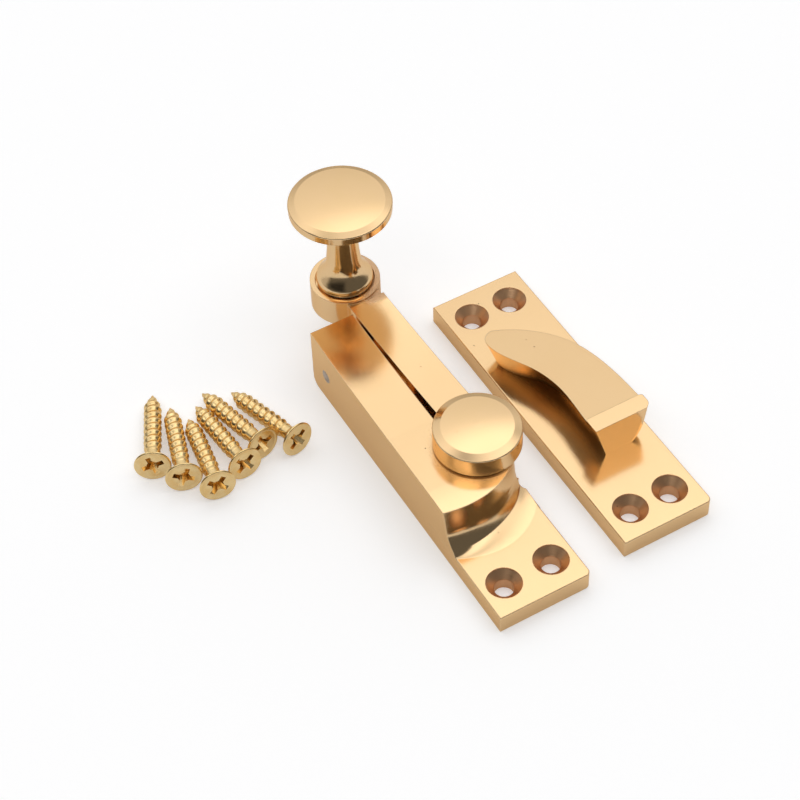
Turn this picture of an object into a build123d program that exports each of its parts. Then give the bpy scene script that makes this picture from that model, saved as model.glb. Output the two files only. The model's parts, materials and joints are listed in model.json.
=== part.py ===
from build123d import *
import os
from math import atan2, cos, degrees, hypot, radians, sin, sqrt

# Narrow sash fastener in cast brass: a case with a swinging arm, a hook plate (the keep) and its screws.
# Millimetres. The origin is the centre of the case's underside, +Z up, +Y from the case's screw
# end to its knob end, and +X from the case to the keep.

os.makedirs("parts", exist_ok=True)

# Case
case_width = 19.0
case_length = 68.0
plate_thick = 4.0
block_top = 12.8             # height of the top faces of the block and the arm at the pivot
rise_start = 8.8             # the top faces are level up to this far behind the pivot
rise_radius = 420.0          # and curve gently up from there to the rear
crown_start = -5.3           # in front of the pivot the block's top dips a little towards the front wall
crown_radius = 62.0
wall_lean = 0.55             # share of the front wall's spread that is lean, not the fillet at its foot
foot_fillet = 3.2
sweep_height = 0.9           # in front of the wall's foot the plate's top sweeps up by this much
cheek_front_x = 0.15         # the cheek's inner face runs from here, at the slot's front,
cheek_rear_x = -0.3          # to here at the rear
slot_front_y = -9.5          # front face of the arm's slot, where the arm stops when it is locked
notch_radius = 1.5           # scoop in the plate's edge where the slot begins
notch_bottom = 2.4
rear_round = 2.0
corner_round = 1.1           # the plate corner beside the slot
edge_round = 0.25

# Screw holes
hole_radius = 1.85
sink_radius = 3.3
sink_land = 0.15             # straight rim above each countersink
case_hole_y = -27.8
case_hole_spacing = 9.8
keep_hole_x = 8.6
keep_hole_y = 55.0

# Pivot
pivot_x = 4.0
pivot_y = -4.2
shank_radius = 3.0
running_clearance = 0.05
hub_radius = 6.5
pocket_radius = 6.8
cap_radius = 8.2
cap_bottom = 12.95
base_washer_radius = 4.8
base_washer_thick = 0.9
hub_washer_radius = 5.6
hub_washer_thick = 0.5

# Arm, in its own frame: the pivot is its origin and it points along +Y
park_tilt = 2.4              # the parked arm leans this many degrees towards the cheek
arm_left = -2.35
arm_right = 5.15
arm_bottom = 4.6
arm_end = 39.9
bridge_bottom = 11.55        # underside of the bridge that passes over the keep's horn
root_reach = 20.4            # the arm is full depth this far from the pivot
nose_reach = 33.0            # and full depth again from here, behind the horn
boss_x = 1.0
boss_y = 47.2
boss_radius = 6.8
boss_bottom = 8.0
boss_top = 14.0
neck_top = 13.5
boss_recess = 5.75
boss_floor = 12.9
knob_shank = 2.4
knob_washer_radius = 4.2
knob_washer_thick = 0.8

# Leaf spring and its cross pin
leaf_thick = 0.6
leaf_height = 2.8
leaf_z = 6.6
leaf_front_y = -7.2
leaf_rear_y = 31.0
pin_y = 28.6
pin_radius = 1.35
groove_gap = 0.35

# Keep
keep_x = 27.6
keep_y = 1.85
keep_width = 19.0
keep_length = 67.2
keep_thick = 4.06
horn_front_y = -14.8
horn_corner = 1.6            # the horn's front right corner is round in plan
horn_hollow = 0.18           # how much more its left side is drawn in half way along
lip_rear_y = -11.4
lip_round = 1.5
lip_top = 12.2
ramp_top = 11.25             # height of the horn's top just behind the lip
ramp_tip = 9.4               # height of the horn's top at its tip
horn_tip_y = 18.2

# Screws
screw_length = 19.3
screw_head_radius = 3.5
screw_thread_radius = 1.75
screw_head_height = 2.2
screw_rim = 0.35             # straight edge of the head
screw_point = 3.6            # length of the tapered point
# plan positions of each loose screw's tip and of the middle of its head
screw_lies = [
    ((-38.2, 46.0), (-46.4, 28.6)),
    ((-36.7, 41.5), (-42.6, 23.1)),
    ((-35.0, 37.2), (-38.1, 18.1)),
    ((-32.4, 39.2), (-31.45, 20.1)),
    ((-29.9, 41.5), (-26.4, 22.6)),
    ((-25.0, 38.8), (-20.3, 20.2)),
]


def save(name, shape):
    shape.label = name
    export_step(shape, f"parts/{name}.step")


def block(x0, x1, y0, y1, z0, z1):
    size = (x1 - x0, y1 - y0, z1 - z0)
    return Pos((x0 + x1) / 2, (y0 + y1) / 2, (z0 + z1) / 2) * Box(*size)


def upright(x, y, radius, z0, z1):
    return Pos(x, y, (z0 + z1) / 2) * Cylinder(radius, z1 - z0)


def above_top(pivot_line):
    # everything over the top faces: level round the pivot, then rising along a very large arc
    dip_start = pivot_line + crown_start
    dip_run = 12.0
    dip = crown_radius - sqrt(crown_radius ** 2 - dip_run ** 2)
    half_dip = crown_radius - sqrt(crown_radius ** 2 - dip_run ** 2 / 4)
    dip_end = (dip_start - dip_run, block_top - dip)
    start = pivot_line + rise_start
    run = 40.0
    climb = rise_radius - sqrt(rise_radius ** 2 - run ** 2)
    middle = rise_radius - sqrt(rise_radius ** 2 - run ** 2 / 4)
    outline = Line((-100, dip_end[1]), dip_end)
    outline += ThreePointArc(dip_end, (dip_start - dip_run / 2, block_top - half_dip), (dip_start, block_top))
    outline += Line((dip_start, block_top), (start, block_top))
    rise_end = (start + run, block_top + climb)
    outline += ThreePointArc((start, block_top), (start + run / 2, block_top + middle), rise_end)
    outline += Polyline(rise_end, (start + run, 30), (-100, 30), (-100, dip_end[1]))
    return extrude(Plane.YZ * make_face(outline), 50, both=True)


def above_slope(y_start, z_start, slope):
    # everything over a plane that passes through (y_start, z_start) and rises along +Y
    tilt = degrees(atan2(slope, 1.0))
    return Pos(0, y_start, z_start) * Rot(tilt, 0, 0) * Pos(0, 0, 20) * Box(200, 240, 40)


def countersink(x, y, top):
    cone_depth = sink_radius - hole_radius
    cone_top = top - sink_land
    cone = Pos(x, y, cone_top - cone_depth / 2) * Cone(hole_radius, sink_radius, cone_depth)
    rim = upright(x, y, sink_radius, cone_top, top + 1)
    hole = upright(x, y, hole_radius, -1, top)
    return cone + rim + hole


def wall_spread(z):
    # how far the front wall stands out at a height: 1 at its foot and 0 at the top
    foot = plate_thick + sweep_height
    lean = (block_top - z) / (block_top - foot)
    fillet_left = max(0.0, (foot + foot_fillet - z) / foot_fillet)
    return wall_lean * lean + (1 - wall_lean) * fillet_left ** 2


def front_outline(z, spread, sweep):
    # plan of the block's front part at a height; sweep is 0 at the wall's foot and 1 where the plate is level
    def mix(foot, top, reach):
        x = spread * foot[0] + (1 - spread) * top[0] + sweep * reach[0]
        y = spread * foot[1] + (1 - spread) * top[1] + sweep * reach[1]
        return (x, y)

    left = mix((-9.5, -18.15), (-9.5, -14.65), (0, -1.0))
    near_left = mix((-5.15, -18.4), (-3.6, -15.3), (-0.4, -2.8))
    middle = mix((0.95, -17.05), (2.6, -14.1), (0.2, -5.0))
    near_right = mix((6.05, -14.35), (6.6, -11.6), (1.6, -4.6))
    right = mix((8.85, -11.05), (8.1, slot_front_y - 0.4), (3.0, -1.8))
    front = Spline(left, near_left, middle, near_right, right)
    back = Polyline(right, (right[0], slot_front_y), (-9.5, slot_front_y), left)
    return Pos(0, 0, z) * make_face(front + back)


def make_front():
    # the block's front part: a leaning wall with a concave foot, and the plate sweeping up to it
    foot_z = plate_thick + sweep_height
    fillet_z = foot_z + foot_fillet
    steps = 5
    rows = []
    for step in range(steps + 1):
        share = step / steps
        start_z = plate_thick - 0.03
        rows.append(front_outline(start_z + (foot_z - start_z) * share ** 2, 1, 1 - share))
    sweep = loft(rows) & block(-case_width / 2, case_width / 2, -case_length / 2, 0, 0, foot_z)
    heights = [foot_z + foot_fillet * step / steps for step in range(steps + 1)]
    foot = loft([front_outline(z, wall_spread(z), 0) for z in heights])
    top_z = block_top + 1
    ends = [front_outline(z, wall_spread(z), 0) for z in (fillet_z, top_z)]
    return sweep + foot + loft(ends, ruled=True)


def make_cheek():
    outer_x = -case_width / 2
    rear_y = case_length / 2
    plan = Polyline((outer_x, slot_front_y), (cheek_front_x, slot_front_y))
    plan += Polyline((cheek_front_x, slot_front_y), (cheek_rear_x, rear_y), (outer_x, rear_y))
    plan += Line((outer_x, rear_y), (outer_x, slot_front_y))
    return extrude(make_face(plan), 16)


def make_plate(width, length, thick):
    # flat plate with eased top edges and a rounded corner at its front right
    plate = block(-width / 2, width / 2, -length / 2, length / 2, 0, thick)
    corner = plate.edges().filter_by(Axis.Z).sort_by(lambda edge: edge.center().X - edge.center().Y)[-1]
    plate = fillet(corner, corner_round)
    return fillet(plate.faces().sort_by(Axis.Z)[-1].edges(), edge_round)


def make_case():
    body = make_plate(case_width, case_length, plate_thick) + make_cheek() + make_front()
    body -= above_top(pivot_y)
    rear_bottom = body.edges().filter_by(Axis.X).group_by(Axis.Z)[0].sort_by(Axis.Y)[-1]
    body = fillet(rear_bottom, rear_round)
    body -= upright(pivot_x, pivot_y, pocket_radius, plate_thick, 20)
    body -= upright(pivot_x, pivot_y, shank_radius, -1, plate_thick + 1)
    body -= upright(pivot_x, pivot_y, base_washer_radius, -1, base_washer_thick)
    notch_x = case_width / 2 + notch_radius / 2
    body -= upright(notch_x, slot_front_y - notch_radius, notch_radius, notch_bottom, 20)
    for side in (-1, 1):
        body -= countersink(side * case_hole_spacing / 2, case_hole_y, plate_thick)
    groove_deep = pivot_x - hub_radius - running_clearance - leaf_thick - groove_gap
    half = leaf_height / 2 + groove_gap
    ends = (leaf_front_y - 0.5, leaf_rear_y + 0.5)
    body -= block(groove_deep, cheek_front_x + 1, *ends, leaf_z - half, leaf_z + half)
    body -= Pos(-case_width / 4, pin_y, leaf_z) * Rot(0, 90, 0) * Cylinder(pin_radius, case_width / 2 + 1)
    return body


def arm_place(shape):
    return Pos(pivot_x, pivot_y, 0) * Rot(0, 0, park_tilt) * shape


def make_arm():
    bar = block(arm_left, arm_right, 0, arm_end, arm_bottom, 16)
    hub = upright(0, 0, hub_radius, arm_bottom, 16)
    body = bar + hub
    body -= above_top(0)
    relief = upright(0, 0, nose_reach, 0, bridge_bottom) - upright(0, 0, root_reach, 0, bridge_bottom)
    body -= relief
    neck = block(boss_x - 3.1, arm_right - 0.25, arm_end - 1.5, boss_y - 2, boss_bottom, neck_top)
    boss = upright(boss_x, boss_y, boss_radius, boss_bottom, boss_top)
    body = body + neck + boss
    body -= upright(boss_x, boss_y, boss_recess, boss_floor, boss_top + 1)
    body -= upright(boss_x, boss_y, knob_shank, boss_bottom - 1, boss_top)
    body -= upright(boss_x, boss_y, knob_washer_radius, boss_bottom - 1, boss_bottom + knob_washer_thick)
    body -= upright(0, 0, shank_radius + running_clearance, 0, 20)
    return arm_place(body)


def turned(profile):
    # profile: a closed outline in the XZ plane with one side on the axis
    return revolve(Plane.XZ * make_face(profile), Axis.Z)


def dome(radius, z, rise):
    # arc from a turned face's edge up to its middle, part of a sphere centred on the axis
    ball = (radius ** 2 + rise ** 2) / (2 * rise)
    middle = z + rise - ball + sqrt(ball ** 2 - (radius / 2) ** 2)
    return ThreePointArc((radius, z), (radius / 2, middle), (0, z + rise))


def make_pivot_cap():
    # low disc with a shallow bevel and a faint dome, turned in one with the shank that the hub swings on
    shank_end = base_washer_thick - 0.7
    rim = Polyline((0, shank_end), (shank_radius, shank_end), (shank_radius, cap_bottom))
    rim += Line((shank_radius, cap_bottom), (cap_radius - 0.3, cap_bottom))
    rim += Polyline((cap_radius - 0.3, cap_bottom), (cap_radius, cap_bottom + 0.3), (8.15, 16.95))
    rim += ThreePointArc((8.15, 16.95), (8.09, 17.12), (7.94, 17.22))
    rim += Line((7.94, 17.22), (6.7, 17.72))
    rim += dome(6.7, 17.72, 0.48)
    rim += Line((0, 18.2), (0, shank_end))
    return Pos(pivot_x, pivot_y, 0) * turned(rim)


def make_knob():
    # tall turned knob: shank, straight foot, round shoulder, waisted neck and a bevelled, faintly domed head
    foot_z = boss_floor + 0.05
    shank_end = boss_bottom + 0.15
    line = Polyline((0, shank_end), (knob_shank, shank_end), (knob_shank, foot_z), (4.95, foot_z))
    line += Polyline((4.95, foot_z), (5.35, 13.3), (5.4, 14.1), (5.25, 14.25), (5.5, 14.4))
    line += Spline((5.5, 14.4), (5.45, 15.0), (5.2, 15.6), (4.75, 16.25), (4.3, 16.95), (3.85, 17.8),
                   (3.5, 18.8), (3.3, 20.0))
    line += Spline((3.3, 20.0), (3.1, 22.0), (2.95, 26.5), (3.3, 31.0))
    line += Spline((3.3, 31.0), (5.0, 31.9), (9.2, 32.3))
    line += Polyline((9.2, 32.3), (9.75, 32.8), (9.8, 34.2))
    line += ThreePointArc((9.8, 34.2), (9.74, 34.38), (9.58, 34.5))
    line += Line((9.58, 34.5), (8.45, 34.95))
    line += dome(8.45, 34.95, 0.55)
    line += Line((0, 35.5), (0, shank_end))
    return arm_place(Pos(boss_x, boss_y, 0) * turned(line))


def ring(x, y, inner, outer, z0, z1):
    return upright(x, y, outer, z0, z1) - upright(x, y, inner, z0 - 1, z1 + 1)


def make_hub_washer():
    hub_washer_top = plate_thick + hub_washer_thick
    return ring(pivot_x, pivot_y, shank_radius, hub_washer_radius, plate_thick, hub_washer_top)


def make_base_washer():
    return ring(pivot_x, pivot_y, shank_radius, base_washer_radius, 0.1, base_washer_thick)


def make_knob_washer():
    knob_washer_top = boss_bottom + knob_washer_thick
    return arm_place(ring(boss_x, boss_y, knob_shank, knob_washer_radius, boss_bottom, knob_washer_top))


def make_leaf_spring():
    x1 = pivot_x - hub_radius - running_clearance
    half = leaf_height / 2
    leaf = block(x1 - leaf_thick, x1, leaf_front_y, leaf_rear_y, leaf_z - half, leaf_z + half)
    leaf -= Pos(x1, pin_y, leaf_z) * Rot(0, 90, 0) * Cylinder(0.8, 6)
    return leaf


def make_spring_pin():
    # flush in the case's left side, stepped down where it holds the leaf
    x1 = pivot_x - hub_radius - running_clearance
    shoulder = x1 - leaf_thick - 0.02
    big = Pos((-case_width / 2 + shoulder) / 2, pin_y, leaf_z) * Rot(0, 90, 0)
    small = Pos((shoulder + x1 + 0.9) / 2, pin_y, leaf_z) * Rot(0, 90, 0)
    return big * Cylinder(pin_radius, shoulder + case_width / 2) + small * Cylinder(0.8, x1 + 0.9 - shoulder)


def horn_section(z, left, right, tip):
    # plan of the horn at a height, drawn in from its left, its right and its tip by these amounts
    tail = horn_tip_y - tip
    front_left = (-3.65 + left, horn_front_y)
    side_end = (8.55 - right, horn_front_y + horn_corner)
    corner = (8.55 - right - 0.29 * horn_corner, horn_front_y + 0.29 * horn_corner)
    front_right = (8.55 - right - horn_corner, horn_front_y)
    tip_left = (-8.95 + left, 15.5 - tip * 0.6)
    tip_right = (-5.6 + right * 0.2, tail)
    hollow = 1 + horn_hollow * max(0.0, left)
    inner = Spline(front_left, (-3.4 + left * hollow, -7.5), (-3.3 + left * hollow, -1.4),
                   (-5.0 + left * hollow, 5.6), (-7.6 + left, 10.9), tip_left)
    end = ThreePointArc(tip_left, (-8.35 + left, tail - 0.85), tip_right)
    outer = Spline(tip_right, (1.3 - right, 14.0 - tip * 0.4), (5.9 - right, 7.8),
                   (8.1 - right, -1), (8.5 - right, -8), side_end)
    front = ThreePointArc(side_end, corner, front_right) + Line(front_right, front_left)
    return Pos(0, 0, z) * make_face(inner + end + outer + front)


def lip_cutter():
    # plan of what is cut down to the ramp: all the horn behind the lip, whose rear corners are round
    left = -4.4
    right = 9.0
    corner_y = lip_rear_y - lip_round
    bulge = 0.29 * lip_round
    left_end = (left + lip_round, lip_rear_y)
    right_end = (right - lip_round, lip_rear_y)
    outline = Polyline((-30, 40), (-30, corner_y), (left, corner_y))
    outline += ThreePointArc((left, corner_y), (left + bulge, lip_rear_y - bulge), left_end)
    outline += Line(left_end, right_end)
    outline += ThreePointArc(right_end, (right - bulge, lip_rear_y - bulge), (right, corner_y))
    outline += Polyline((right, corner_y), (30, corner_y), (30, 40), (-30, 40))
    return extrude(make_face(outline), 40)


def make_keep():
    sections = [
        horn_section(keep_thick - 0.05, 2.5, 2.55, 2.2),
        horn_section(6.2, 1.82, 1.25, 1.3),
        horn_section(9.3, 0.85, 0.5, 0.0),
        horn_section(12.6, -0.2, -0.05, -1.3),
    ]
    slope = (ramp_tip - ramp_top) / (horn_tip_y - lip_rear_y)
    over_ramp = above_slope(lip_rear_y, ramp_top, slope) & lip_cutter()
    horn = loft(sections) - over_ramp - block(-30, 30, -40, 40, lip_top, 40)
    body = make_plate(keep_width, keep_length, keep_thick) + horn
    for side in (-1, 1):
        for end in (-1, 1):
            body -= countersink(side * keep_hole_x / 2, end * keep_hole_y / 2, keep_thick)
    return Pos(keep_x, keep_y, 0) * body


def make_screw(tip, head):
    # wood screw with a flat countersunk head and a cross recess, lying on its head's rim and its thread
    run = hypot(head[0] - tip[0], head[1] - tip[1])
    dip = degrees(atan2(screw_head_radius - screw_thread_radius, screw_length - screw_rim - screw_point))
    turn = degrees(atan2(head[1] - tip[1], head[0] - tip[0]))
    neck_z = screw_length - screw_head_height
    rim_z = screw_length - screw_rim
    outline = Polyline((0, 0), (0.5, 0.7), (screw_thread_radius, screw_point), (screw_thread_radius, neck_z))
    outline += Polyline((screw_thread_radius, neck_z), (screw_head_radius, rim_z))
    outline += Polyline((screw_head_radius, rim_z), (screw_head_radius, screw_length), (0, screw_length))
    outline += Line((0, screw_length), (0, 0))
    body = turned(outline)
    for quarter in (0, 90):
        slot = Pos(0, 0, screw_length - 0.7) * Rot(0, 0, quarter + 20) * Box(3.8, 0.75, 1.6)
        body -= slot
    start = Pos((tip[0] + head[0]) / 2, (tip[1] + head[1]) / 2, 0)
    lay = Rot(0, 0, turn) * Rot(0, 90 - dip, 0) * Pos(0, 0, -screw_length / 2)
    lift = screw_head_radius * cos(radians(dip)) - (rim_z - screw_length / 2) * sin(radians(dip))
    return start * Pos(0, 0, lift) * lay * body


save("case", make_case())
save("arm", make_arm())
save("pivot_cap", make_pivot_cap())
save("hub_washer", make_hub_washer())
save("base_washer", make_base_washer())
save("knob", make_knob())
save("knob_washer", make_knob_washer())
save("leaf_spring", make_leaf_spring())
save("spring_pin", make_spring_pin())
save("keep", make_keep())
for number, (tip, head) in enumerate(screw_lies, start=1):
    save(f"screw_{number}", make_screw(tip, head))
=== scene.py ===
import bpy
import bmesh
import json
from math import atan2, cos, degrees, pi, radians, sin
from mathutils import Matrix, Vector


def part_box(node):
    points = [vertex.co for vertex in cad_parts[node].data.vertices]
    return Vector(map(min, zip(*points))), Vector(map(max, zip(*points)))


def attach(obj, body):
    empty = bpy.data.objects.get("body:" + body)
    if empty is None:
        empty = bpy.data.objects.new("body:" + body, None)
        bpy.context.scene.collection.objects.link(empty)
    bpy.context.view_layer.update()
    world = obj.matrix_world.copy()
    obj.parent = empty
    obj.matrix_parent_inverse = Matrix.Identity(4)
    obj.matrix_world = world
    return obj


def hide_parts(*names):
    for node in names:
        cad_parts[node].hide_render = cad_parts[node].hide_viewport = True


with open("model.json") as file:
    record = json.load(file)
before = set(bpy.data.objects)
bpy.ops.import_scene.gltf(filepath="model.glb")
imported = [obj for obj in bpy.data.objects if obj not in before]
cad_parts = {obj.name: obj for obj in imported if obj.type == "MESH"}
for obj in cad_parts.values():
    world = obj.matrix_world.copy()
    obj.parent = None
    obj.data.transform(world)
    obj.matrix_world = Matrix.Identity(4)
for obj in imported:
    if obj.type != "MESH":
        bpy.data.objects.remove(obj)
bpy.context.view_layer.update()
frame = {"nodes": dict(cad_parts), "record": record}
nodes = frame["nodes"]
scene = bpy.context.scene

MM = 0.001

# Camera: it looks down on the case from its screw end, a little from the left
VIEW_TURN = 28.38
VIEW_DOWN = 49.72
VIEW_ROLL = -2.31
VIEW_DISTANCE = 415.3 * MM
SENSOR = 36.0
LENS = 97.59
AIM_OFFSET = (2.24 * MM, 21.25 * MM)     # what it looks at, from the middle of the case
DARK_SIDE = 0.12             # light from the dark sides of the studio

# Base colours of the metals
BRASS = (0.885, 0.615, 0.335)
BRASS_CLOUD = (0.86, 0.575, 0.30)
BRASS_WORN = (0.95, 0.72, 0.44)
TURNED_CLOUD = (0.86, 0.60, 0.30)
TURNED_WORN = (0.95, 0.74, 0.46)
SINK_BRASS = (0.70, 0.40, 0.22)      # the machined countersinks
WASHER = (0.80, 0.54, 0.27)
BRASS_DULL = (0.62, 0.40, 0.20)
CAST = (0.72, 0.47, 0.29)            # the rough cast surface by the arm's boss
BRASS_DARK = (0.20, 0.115, 0.045)
GRAZING = (0.95, 0.80, 0.62)         # of brass seen edge on
GILT = (0.91, 0.68, 0.34)
GILT_DEEP = (0.85, 0.57, 0.23)
STEEL = (0.52, 0.50, 0.49)
STEEL_DARK = (0.24, 0.22, 0.21)
GRIME = (0.045, 0.028, 0.014)
HORN_SHADE = (0.085, 0.052, 0.026)         # painted shade on the horn's overhung left side

# Lengths in millimetres
EDGE_RADIUS = 0.22
TURNED_EDGE_RADIUS = 0.15
SINK_RADIUS = 3.3
SINK_RING_PITCH = 0.34
HORN_FOOT = 4.0              # just under the top of the keep's plate


def low(node):
    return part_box(node)[0] / MM


def high(node):
    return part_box(node)[1] / MM


def middle(node):
    return (low(node) + high(node)) / 2


# ---------------------------------------------------------------- node trees

class Wiring:
    """Adds nodes to one tree. Lengths in it are in millimetres."""

    def __init__(self, tree):
        self.tree = tree

    def node(self, kind, **settings):
        made = self.tree.nodes.new(kind)
        for name, value in settings.items():
            setattr(made, name, value)
        return made

    def plug(self, socket, value):
        if isinstance(value, bpy.types.NodeSocket):
            self.tree.links.new(value, socket)
        elif isinstance(value, (tuple, list)) and len(value) == 3 and socket.type == "RGBA":
            socket.default_value = (*value, 1)
        else:
            socket.default_value = value

    def math(self, operation, a, b=0.0, c=0.0):
        made = self.node("ShaderNodeMath", operation=operation)
        for socket, value in zip(made.inputs, (a, b, c)):
            self.plug(socket, value)
        return made.outputs[0]

    def add(self, a, b):
        return self.math("ADD", a, b)

    def take(self, a, b):
        return self.math("SUBTRACT", a, b)

    def times(self, a, b):
        return self.math("MULTIPLY", a, b)

    def vector(self, operation, a, b=(0, 0, 0), scale=1.0):
        made = self.node("ShaderNodeVectorMath", operation=operation)
        self.plug(made.inputs[0], a)
        self.plug(made.inputs[1], b)
        if operation == "SCALE":
            self.plug(made.inputs["Scale"], scale)
        return made.outputs["Value" if operation == "DOT_PRODUCT" else "Vector"]

    def split(self, vector):
        made = self.node("ShaderNodeSeparateXYZ")
        self.plug(made.inputs[0], vector)
        return made.outputs

    def join(self, x, y, z):
        made = self.node("ShaderNodeCombineXYZ")
        for socket, value in zip(made.inputs, (x, y, z)):
            self.plug(socket, value)
        return made.outputs[0]

    def fade(self, value, start, end, out_start=0.0, out_end=1.0):
        made = self.node("ShaderNodeMapRange", interpolation_type="SMOOTHSTEP")
        for socket, v in zip(made.inputs, (value, start, end, out_start, out_end)):
            self.plug(socket, v)
        return made.outputs[0]

    def mix(self, share, a, b):
        made = self.node("ShaderNodeMix", data_type="RGBA")
        self.plug(made.inputs["Factor"], share)
        self.plug(made.inputs[6], a)
        self.plug(made.inputs[7], b)
        return made.outputs[2]

    def noise(self, where, scale, detail=2.0, roughness=0.5):
        made = self.node("ShaderNodeTexNoise")
        self.plug(made.inputs["Vector"], where)
        made.inputs["Scale"].default_value = scale
        made.inputs["Detail"].default_value = detail
        made.inputs["Roughness"].default_value = roughness
        return made.outputs["Fac"]

    def specks(self, where, scale, size, share):
        """1 in small round specks, in that share of the cells of a Voronoi pattern."""
        made = self.node("ShaderNodeTexVoronoi")
        self.plug(made.inputs["Vector"], where)
        made.inputs["Scale"].default_value = scale
        picked = self.math("GREATER_THAN", self.split(made.outputs["Color"])[0], 1 - share)
        spot = self.fade(made.outputs["Distance"], size * scale, size * scale * 0.45)
        return self.times(picked, spot)

    def bump(self, height, strength, reach, normal=None):
        """height is 0 to 1 and reach is what 1 stands for, in millimetres."""
        made = self.node("ShaderNodeBump")
        made.inputs["Strength"].default_value = strength
        made.inputs["Distance"].default_value = reach * MM
        self.plug(made.inputs["Height"], height)
        if normal is not None:
            self.plug(made.inputs["Normal"], normal)
        return made.outputs[0]


class Metal(Wiring):
    """A metal material. Colour, roughness and normal are built up, then closed."""

    def __init__(self, name, colour, rough):
        self.material = bpy.data.materials.new(name)
        self.material.use_nodes = True
        super().__init__(self.material.node_tree)
        self.shader = self.tree.nodes["Principled BSDF"]
        self.shader.inputs["Metallic"].default_value = 1.0
        self.shader.inputs["Specular Tint"].default_value = (*GRAZING, 1)
        self.where = self.vector("SCALE", self.node("ShaderNodeTexCoord").outputs["Object"], scale=1 / MM)
        self.x, self.y, self.z = self.split(self.where)
        self.normal_x = self.split(self.node("ShaderNodeNewGeometry").outputs["Normal"])[0]
        self.colour = colour
        self.rough = rough
        self.normal = None

    def tint(self, share, colour):
        self.colour = self.mix(share, self.colour, colour)

    def roughen(self, share, amount):
        self.rough = self.math("MULTIPLY_ADD", share, amount, self.rough)

    def emboss(self, height, strength, reach):
        self.normal = self.bump(height, strength, reach, self.normal)

    def round_edges(self, radius, worn=None, spared=None):
        """Rounds sharp edges for the light, save where spared is 1, and paints them in a worn colour."""
        made = self.node("ShaderNodeBevel", samples=4)
        made.inputs["Radius"].default_value = radius * MM
        self.normal = made.outputs[0]
        plain = self.node("ShaderNodeNewGeometry").outputs["Normal"]
        if spared is not None:
            turn = self.vector("SUBTRACT", plain, self.normal)
            self.normal = self.vector("ADD", self.normal, self.vector("SCALE", turn, scale=spared))
        if worn is not None:
            turned = self.vector("DOT_PRODUCT", self.normal, plain)
            self.tint(self.fade(turned, 0.995, 0.90, 0.0, 0.75), worn)

    def distance_to(self, x, y):
        return self.math("SQRT", self.add(self.math("POWER", self.take(self.x, x), 2.0),
                                          self.math("POWER", self.take(self.y, y), 2.0)))

    def close(self):
        self.plug(self.shader.inputs["Base Color"], self.colour)
        self.plug(self.shader.inputs["Roughness"], self.rough)
        if self.normal is not None:
            self.plug(self.shader.inputs["Normal"], self.normal)
        return self.material


# ---------------------------------------------------------------- metals

def polish(metal, grain=1.0):
    """What polished cast brass shows all over: cloudy tone, fine grain and polishing lines along Y."""
    cloud = metal.noise(metal.where, 0.09, 3.0)
    metal.tint(metal.fade(cloud, 0.35, 0.75, 0.0, 0.35), BRASS_CLOUD)
    fine = metal.noise(metal.where, 5.5, 3.0, 0.6)
    stretched = metal.vector("MULTIPLY", metal.where, (3.0, 0.22, 3.0))
    lines = metal.noise(stretched, 1.6, 2.0)
    metal.roughen(metal.take(fine, 0.5), 0.10)
    metal.roughen(metal.take(lines, 0.5), 0.08)
    metal.emboss(fine, 0.35 * grain, 0.012)
    metal.emboss(lines, 0.30 * grain, 0.010)


def pit(metal, share=0.16):
    """Small dark casting pits."""
    holes = metal.specks(metal.where, 0.45, 0.16, share)
    metal.tint(holes, GRIME)
    metal.roughen(holes, 0.35)


def mark_countersinks(metal, mount_name):
    """Darker machined holes with turning rings, where the record has a pattern of screw holes."""
    mount = next(m for m in frame["record"]["mounts"] if m["name"] == mount_name)
    centre = Vector(mount["pos_m"]) / MM
    spacing_x = mount["dims"]["spacing_x_mm"]
    spacing_y = mount["dims"].get("spacing_y_mm", 0.0)
    x = metal.take(metal.math("ABSOLUTE", metal.take(metal.x, centre.x)), spacing_x / 2)
    y = metal.take(metal.y, centre.y)
    if spacing_y:
        y = metal.take(metal.math("ABSOLUTE", y), spacing_y / 2)
    distance = metal.math("SQRT", metal.add(metal.math("POWER", x, 2.0), metal.math("POWER", y, 2.0)))
    inside = metal.fade(distance, SINK_RADIUS + 0.06, SINK_RADIUS - 0.06)
    metal.tint(metal.times(inside, 0.8), SINK_BRASS)
    metal.roughen(inside, 0.20)
    ring = metal.math("SINE", metal.times(metal.z, 2 * pi / SINK_RING_PITCH))
    height = metal.times(inside, metal.math("MULTIPLY_ADD", ring, 0.5, 0.5))
    metal.emboss(height, 0.25, 0.02)


def case_metal():
    metal = Metal("case_brass", BRASS, 0.15)
    metal.round_edges(EDGE_RADIUS, BRASS_WORN)
    polish(metal)
    mark_countersinks(metal, "case_screws")
    pit(metal)
    cap = middle("pivot_cap")            # handling has rubbed and soiled the top round the cap; the mottled dark ring at its foot is grime and painted contact shade
    away = metal.distance_to(cap.x, cap.y)
    ring = metal.times(metal.fade(away, 10.2, 8.3), metal.fade(metal.z, 12.0, 12.6))
    dirt_and_shade = metal.fade(metal.noise(metal.where, 3.2, 3.0, 0.7), 0.56, 0.70)
    metal.tint(metal.times(ring, metal.times(dirt_and_shade, 0.7)), BRASS_DARK)
    metal.roughen(ring, 0.16)
    return metal.close()


def arm_metal():
    metal = Metal("arm_brass", BRASS, 0.15)
    metal.round_edges(EDGE_RADIUS, BRASS_WORN)
    polish(metal)
    pit(metal)
    boss = middle("knob")                # the casting is rough beside the ring boss
    behind = metal.fade(metal.y, boss.y - 9.4, boss.y - 7.6)
    right = metal.fade(metal.x, boss.x - 0.5, boss.x + 2.0)
    cast = metal.times(behind, right)
    crust = metal.noise(metal.where, 3.4, 4.0, 0.6)
    metal.tint(metal.times(cast, metal.fade(crust, 0.35, 0.65, 0.55, 0.9)), CAST)
    metal.tint(metal.times(cast, metal.fade(crust, 0.44, 0.36, 0.0, 0.45)), BRASS_DARK)
    metal.roughen(cast, 0.24)
    metal.emboss(metal.times(cast, crust), 0.8, 0.22)
    return metal.close()


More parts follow.
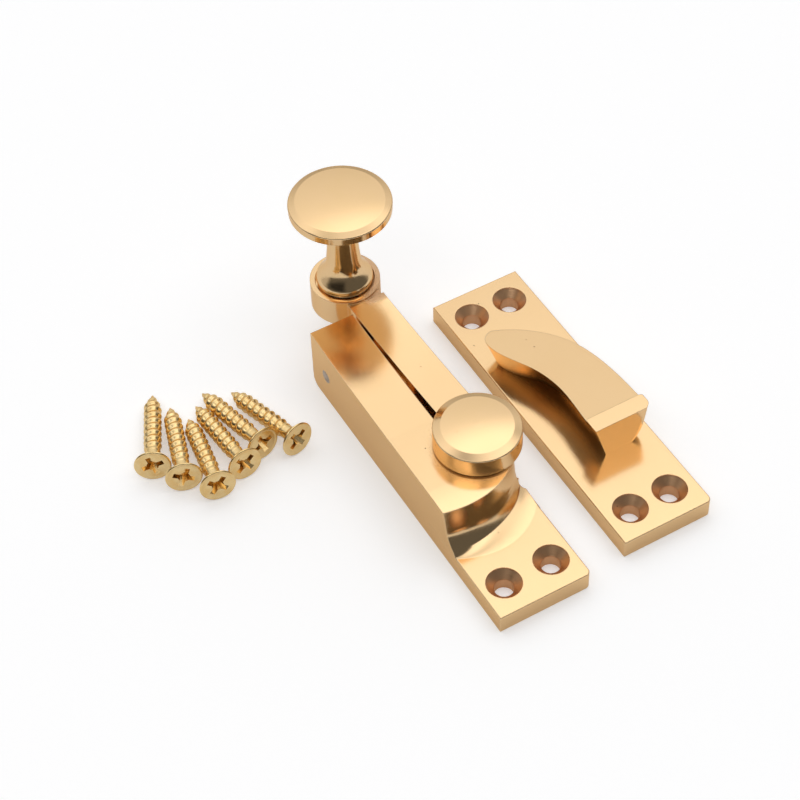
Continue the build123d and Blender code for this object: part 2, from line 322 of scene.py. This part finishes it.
def keep_metal():
    metal = Metal("keep_brass", BRASS, 0.15)
    keep = middle("keep")
    # the inner corner at the horn's foot stays sharp
    foot = metal.times(metal.fade(metal.z, HORN_FOOT - 0.05, HORN_FOOT), metal.fade(metal.z, 4.50, 4.40))
    for value, centre, reach in ((metal.x, keep.x, 9.15), (metal.y, keep.y + 2.0, 18.0)):
        away = metal.math("ABSOLUTE", metal.take(value, centre))
        foot = metal.times(foot, metal.fade(away, reach, reach - 0.1))
    metal.round_edges(EDGE_RADIUS, BRASS_WORN, foot)
    polish(metal, grain=1.3)
    mark_countersinks(metal, "keep_screws")
    pit(metal, share=0.22)
    # painted shade on the horn's overhung left side, low near the tip and higher towards the lip
    shade_top = metal.fade(metal.y, keep.y + 15.0, keep.y + 2.0, 5.4, 9.4)
    painted_shade = metal.fade(metal.math("DIVIDE", metal.z, shade_top), 1.0, 0.55)
    painted_shade = metal.times(painted_shade, metal.fade(metal.z, HORN_FOOT, HORN_FOOT + 0.08))
    painted_shade = metal.times(painted_shade, metal.fade(metal.normal_x, -0.30, -0.55))
    painted_shade = metal.times(painted_shade, metal.fade(metal.x, keep.x + 0.5, keep.x - 0.5))
    metal.tint(metal.times(painted_shade, 0.90), HORN_SHADE)
    metal.roughen(painted_shade, 0.15)
    return metal.close()


def turned_metal(name, node):
    metal = Metal(name, BRASS, 0.12)
    metal.round_edges(TURNED_EDGE_RADIUS, TURNED_WORN)
    axis = middle(node)
    away = metal.distance_to(axis.x, axis.y)
    round_axis = metal.join(metal.times(away, 3.0), metal.times(metal.z, 3.0), 0.0)
    marks = metal.noise(round_axis, 1.5, 4.0, 0.7)
    cloud = metal.noise(metal.where, 0.16, 3.0)
    metal.tint(metal.fade(cloud, 0.4, 0.75, 0.0, 0.4), TURNED_CLOUD)
    metal.roughen(metal.take(marks, 0.5), 0.10)
    metal.emboss(marks, 0.35, 0.012)
    fine = metal.noise(metal.where, 5.5, 3.0, 0.6)
    metal.emboss(fine, 0.25, 0.010)
    holes = metal.specks(metal.where, 0.5, 0.10, 0.12)
    metal.tint(holes, BRASS_DARK)
    return metal.close()


def washer_metal():
    metal = Metal("washer_brass", WASHER, 0.28)
    stain = metal.noise(metal.where, 0.7, 4.0, 0.6)
    metal.tint(metal.fade(stain, 0.4, 0.7, 0.0, 0.6), BRASS_DULL)
    metal.roughen(stain, 0.15)
    metal.emboss(metal.noise(metal.where, 6.0, 3.0), 0.5, 0.015)
    return metal.close()


def steel_metal(name, colour, rough, along):
    metal = Metal(name, colour, rough)
    lines = metal.noise(metal.vector("MULTIPLY", metal.where, along), 2.0, 3.0)
    stain = metal.noise(metal.where, 0.8, 4.0, 0.6)
    metal.tint(metal.fade(stain, 0.45, 0.75, 0.0, 0.6), STEEL_DARK)
    metal.roughen(metal.take(lines, 0.5), 0.25)
    metal.emboss(lines, 0.4, 0.012)
    return metal.close()


def screw_metal():
    metal = Metal("screw_gilt", GILT, 0.20)
    cloud = metal.noise(metal.where, 0.55, 3.0)
    metal.tint(metal.fade(cloud, 0.35, 0.7, 0.0, 0.8), GILT_DEEP)
    fine = metal.noise(metal.where, 3.6, 3.0, 0.65)
    metal.roughen(metal.take(fine, 0.4), 0.20)
    metal.emboss(fine, 0.25, 0.02)
    metal.tint(metal.specks(metal.where, 1.3, 0.08, 0.2), BRASS_DULL)
    return metal.close()


def paint(node, material):
    data = nodes[node].data
    data.materials.clear()
    data.materials.append(material)


# ---------------------------------------------------------------- screws

SCREW_LENGTH = 19.3
HEAD_RADIUS = 3.5
CAD_THREAD_RADIUS = 1.75
THREAD_RADIUS = 1.72
CORE_RADIUS = 1.38
THREAD_PITCH = 1.62
HEAD_HEIGHT = 2.2
RIM_HEIGHT = 0.35
SCREW_POINT = 3.6
THREAD_END = 16.0            # the thread runs out here, below the head
AROUND = 40                  # steps in one turn
# plan positions of each loose screw's tip and of the middle of its head, and how far it is rolled
SCREW_LIES = [
    ((-38.2, 46.0), (-46.4, 28.6), 20),
    ((-36.7, 41.5), (-42.6, 23.1), 66),
    ((-35.0, 37.2), (-38.1, 18.1), 52),
    ((-32.4, 39.2), (-31.45, 20.1), 38),
    ((-29.9, 41.5), (-26.4, 22.6), 15),
    ((-25.0, 38.8), (-20.3, 20.2), 33),
]


def thread_radius(z, phase):
    """Radius of the threaded shaft at a height, phase being 0 to 1 across one thread."""
    crest = 0.5 - 0.5 * cos(2 * pi * phase)
    run_out = min(1.0, max(0.0, (THREAD_END - z) / 1.6))
    point = min(1.0, max(0.0, z / 3.4)) ** 0.75
    core = CORE_RADIUS * min(1.0, max(0.0, z / 3.6)) ** 0.8
    return core + (THREAD_RADIUS - CORE_RADIUS) * crest * run_out * point


def screw_shaft(mesh):
    """The thread follows the rows of a grid that climbs one pitch in each turn."""
    rows = 14
    top = SCREW_LENGTH - HEAD_HEIGHT + 0.5
    count = int(top / THREAD_PITCH * rows) + rows
    grid = []
    for row in range(-rows, count):
        line = []
        for step in range(AROUND + 1):
            z = THREAD_PITCH * (row / rows + step / AROUND)
            held = min(max(z, 0.0), top)
            angle = 2 * pi * step / AROUND
            radius = max(thread_radius(held, (row % rows) / rows), 0.03)
            line.append(mesh.verts.new((radius * cos(angle), radius * sin(angle), held)))
        grid.append(line)
    for lower, upper in zip(grid, grid[1:]):
        for step in range(AROUND):
            mesh.faces.new((lower[step], lower[step + 1], upper[step + 1], upper[step]))
    bmesh.ops.remove_doubles(mesh, verts=mesh.verts, dist=0.004)
    bmesh.ops.dissolve_degenerate(mesh, edges=mesh.edges, dist=0.002)


def lathe(mesh, profile, steps):
    """Turns a profile of (radius, height) points about the Z axis; a radius of 0 closes it."""
    rings = []
    for radius, z in profile:
        if radius == 0:
            rings.append([mesh.verts.new((0, 0, z))] * steps)
        else:
            ring = [2 * pi * step / steps for step in range(steps)]
            rings.append([mesh.verts.new((radius * cos(a), radius * sin(a), z)) for a in ring])
    for lower, upper in zip(rings, rings[1:]):
        for step in range(steps):
            after = (step + 1) % steps
            corners = [lower[step], lower[after], upper[after], upper[step]]
            unique = list(dict.fromkeys(corners))
            if len(unique) > 2:
                mesh.faces.new(unique)


def wedge(mesh, angle, top, depth):
    """One bar of the cross recess: long at the top and short at the bottom."""
    turn = Matrix.Rotation(angle, 4, "Z")
    corners = []
    for length, width, z in ((2.25, 0.52, top), (0.95, 0.36, top - depth)):
        for x, y in ((-length, -width), (length, -width), (length, width), (-length, width)):
            corners.append(mesh.verts.new(turn @ Vector((x, y, z))))
    bottom = corners[4:]
    upper = corners[:4]
    mesh.faces.new(upper)
    mesh.faces.new(bottom[::-1])
    for step in range(4):
        after = (step + 1) % 4
        mesh.faces.new((upper[after], upper[step], bottom[step], bottom[after]))


def object_from(mesh, name):
    bmesh.ops.recalc_face_normals(mesh, faces=mesh.faces)
    data = bpy.data.meshes.new(name)
    mesh.to_mesh(data)
    mesh.free()
    made = bpy.data.objects.new(name, data)
    scene.collection.objects.link(made)
    return made


def shade(data, angle):
    """Smooth shading with sharp edges where faces meet at more than this many degrees."""
    mesh = bmesh.new()
    mesh.from_mesh(data)
    for face in mesh.faces:
        face.smooth = True
    for edge in mesh.edges:
        if len(edge.link_faces) == 2:
            edge.smooth = edge.calc_face_angle(0.0) < radians(angle)
    mesh.to_mesh(data)
    mesh.free()


def screw_head():
    top = SCREW_LENGTH
    mesh = bmesh.new()
    lathe(mesh, [(0, top - HEAD_HEIGHT), (1.45, top - HEAD_HEIGHT), (1.62, top - HEAD_HEIGHT + 0.12),
                 (3.30, top - RIM_HEIGHT - 0.08), (3.46, top - RIM_HEIGHT + 0.02), (3.5, top - 0.22),
                 (3.46, top - 0.10), (3.36, top - 0.02), (3.22, top), (3.08, top - 0.02),
                 (2.96, top - 0.08), (2.7, top - 0.10), (0, top - 0.06)], 72)
    head = object_from(mesh, "screw_head")
    cutters = []
    for angle in (0, pi / 2):
        mesh = bmesh.new()
        wedge(mesh, angle, top + 0.05, 1.75)
        cutters.append(object_from(mesh, "screw_recess"))
    mesh = bmesh.new()
    lathe(mesh, [(0, top - 1.9), (0.45, top - 1.75), (1.18, top + 0.05), (0, top + 0.05)], 24)
    cutters.append(object_from(mesh, "screw_recess"))
    for cutter in cutters:
        cut = head.modifiers.new("recess", "BOOLEAN")
        cut.operation = "DIFFERENCE"
        cut.solver = "EXACT"
        cut.object = cutter
    shaped = bpy.data.meshes.new_from_object(head.evaluated_get(bpy.context.evaluated_depsgraph_get()))
    for made in [head, *cutters]:
        bpy.data.objects.remove(made)
    return shaped


def screw_mesh():
    """One wood screw standing on its point at the origin."""
    mesh = bmesh.new()
    screw_shaft(mesh)
    bmesh.ops.recalc_face_normals(mesh, faces=mesh.faces)
    mesh.from_mesh(screw_head())
    data = bpy.data.meshes.new("screw")
    mesh.to_mesh(data)
    mesh.free()
    shade(data, 38)
    return data


def lay_screw(tip, head, roll):
    """Where a screw lies: on the rim of its head and on its thread."""
    dip = degrees(atan2(HEAD_RADIUS - CAD_THREAD_RADIUS, SCREW_LENGTH - RIM_HEIGHT - SCREW_POINT))
    turn = degrees(atan2(head[1] - tip[1], head[0] - tip[0]))
    lift = HEAD_RADIUS * cos(radians(dip)) - (SCREW_LENGTH / 2 - RIM_HEIGHT) * sin(radians(dip))
    start = Vector(((tip[0] + head[0]) / 2, (tip[1] + head[1]) / 2, lift))
    place = Matrix.Translation(start) @ Matrix.Rotation(radians(turn), 4, "Z")
    place = place @ Matrix.Rotation(radians(90 - dip), 4, "Y")
    place = place @ Matrix.Translation((0, 0, -SCREW_LENGTH / 2))
    return Matrix.Scale(MM, 4) @ place @ Matrix.Rotation(radians(roll), 4, "Z")


def make_screws():
    base = screw_mesh()
    finish = screw_metal()
    base.materials.clear()
    base.materials.append(finish)
    for number, (tip, head, roll) in enumerate(SCREW_LIES, start=1):
        data = base.copy()
        data.transform(lay_screw(tip, head, roll))
        made = bpy.data.objects.new(f"wood_screw_{number}", data)
        scene.collection.objects.link(made)
        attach(made, "case_body")
        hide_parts(f"screw_{number}")


# ---------------------------------------------------------------- studio

def make_camera():
    case = middle("case") * MM
    aim = Vector((case.x + AIM_OFFSET[0], case.y + AIM_OFFSET[1], 0))
    data = bpy.data.cameras.new("camera")
    data.sensor_width = SENSOR
    data.lens = LENS
    data.clip_start = 0.01
    camera = bpy.data.objects.new("camera", data)
    scene.collection.objects.link(camera)
    turn = Matrix.Rotation(radians(-VIEW_TURN), 4, "Z")
    tilt = Matrix.Rotation(radians(90 - VIEW_DOWN), 4, "X")
    roll = Matrix.Rotation(radians(VIEW_ROLL), 4, "Z")
    rotation = turn @ tilt @ roll
    back = rotation @ Vector((0, 0, VIEW_DISTANCE))
    camera.matrix_world = Matrix.Translation(aim + back) @ rotation
    scene.camera = camera


def make_floor():
    half = 2.0
    corners = [(-half, -half, 0), (half, -half, 0), (half, half, 0), (-half, half, 0)]
    data = bpy.data.meshes.new("floor")
    data.from_pydata(corners, [], [(0, 1, 2, 3)])
    floor = bpy.data.objects.new("floor", data)
    scene.collection.objects.link(floor)
    material = bpy.data.materials.new("floor")
    material.use_nodes = True
    shader = material.node_tree.nodes["Principled BSDF"]
    shader.inputs["Base Color"].default_value = (0.88, 0.88, 0.885, 1)
    shader.inputs["Roughness"].default_value = 0.9
    shader.inputs["Specular IOR Level"].default_value = 0.1
    shader.inputs["Emission Color"].default_value = (1, 1, 1, 1)
    wiring = Wiring(material.node_tree)
    seen = wiring.node("ShaderNodeLightPath").outputs["Is Camera Ray"]
    wiring.plug(shader.inputs["Emission Strength"], wiring.math("MULTIPLY_ADD", seen, 0.22, 0.10))
    data.materials.append(material)


def make_studio():
    """A light tent: large soft lights overhead, a bright wall behind and a dark side in front."""
    world = bpy.data.worlds.new("studio")
    scene.world = world
    world.use_nodes = True
    wiring = Wiring(world.node_tree)
    direction = wiring.vector("NORMALIZE", wiring.node("ShaderNodeTexCoord").outputs["Generated"])
    x, y, z = wiring.split(direction)
    height = wiring.math("MAXIMUM", z, 0.02)
    across = wiring.math("DIVIDE", x, height)
    along = wiring.math("DIVIDE", y, height)
    lit = wiring.fade(along, -0.78, -0.62)               # the front edge of everything overhead
    high = wiring.fade(z, 0.66, 0.86)
    # main softbox, overhead and to the right
    box = wiring.times(wiring.fade(across, -0.28, 0.04), wiring.fade(across, 1.30, 0.85))
    box = wiring.times(box, wiring.times(lit, wiring.fade(along, 0.80, 0.42)))
    # its brighter front part
    front = wiring.times(lit, wiring.fade(along, 0.0, -0.30))
    front = wiring.times(front, wiring.fade(across, -0.10, 0.25))
    front = wiring.times(front, wiring.fade(across, 1.00, 0.70))
    # bright wall behind, fading downwards
    back = wiring.times(wiring.fade(y, 0.0, 0.40), wiring.fade(z, -0.10, 0.85, 0.42, 1.0))
    back = wiring.times(back, wiring.math("MULTIPLY_ADD", high, -0.25, 1.0))
    # strip light overhead, at the left and in front
    strip = wiring.times(wiring.fade(across, -0.95, -0.75), wiring.fade(across, -0.08, -0.26))
    strip = wiring.times(strip, wiring.times(lit, wiring.fade(along, 0.20, -0.05)))
    strip = wiring.times(strip, wiring.fade(z, 0.93, 0.88))
    # weaker wall at the right
    right = wiring.times(wiring.fade(x, 0.25, 0.75), wiring.fade(y, -0.55, -0.15))
    right = wiring.times(right, wiring.fade(z, 0.0, 0.8, 0.5, 1.0))
    right = wiring.times(right, wiring.fade(y, 0.40, 0.0))
    overhead = wiring.times(high, lit)
    glow = DARK_SIDE
    lights = ((box, 0.48), (overhead, 0.36), (front, 0.50), (back, 0.85), (strip, 1.20), (right, 0.42))
    for share, strength in lights:
        glow = wiring.math("MULTIPLY_ADD", share, strength, glow)
    # a black flag low at the left
    shade = wiring.times(wiring.fade(x, -0.30, -0.62), wiring.fade(z, 0.56, 0.40))
    shade = wiring.times(shade, wiring.fade(z, 0.12, 0.30))
    glow = wiring.math("MULTIPLY", glow, wiring.math("MULTIPLY_ADD", shade, -0.80, 1.0))
    light = world.node_tree.nodes["Background"]
    wiring.plug(light.inputs["Color"], wiring.join(glow, glow, glow))
    seen = wiring.node("ShaderNodeBackground")
    seen.inputs["Color"].default_value = (1, 1, 1, 1)
    blend = wiring.node("ShaderNodeMixShader")
    wiring.plug(blend.inputs[0], wiring.node("ShaderNodeLightPath").outputs["Is Camera Ray"])
    wiring.plug(blend.inputs[1], light.outputs[0])
    wiring.plug(blend.inputs[2], seen.outputs[0])
    wiring.plug(world.node_tree.nodes["World Output"].inputs["Surface"], blend.outputs[0])
    scene.view_settings.view_transform = "Standard"


make_camera()
make_floor()
make_studio()

paint("case", case_metal())
paint("arm", arm_metal())
paint("keep", keep_metal())
paint("pivot_cap", turned_metal("cap_brass", "pivot_cap"))
paint("knob", turned_metal("knob_brass", "knob"))
dull = washer_metal()
for washer in ("hub_washer", "base_washer", "knob_washer"):
    paint(washer, dull)
paint("leaf_spring", steel_metal("spring_steel", STEEL, 0.25, (1.0, 0.1, 2.0)))
paint("spring_pin", steel_metal("pin_steel", STEEL, 0.40, (0.2, 2.0, 2.0)))
make_screws()
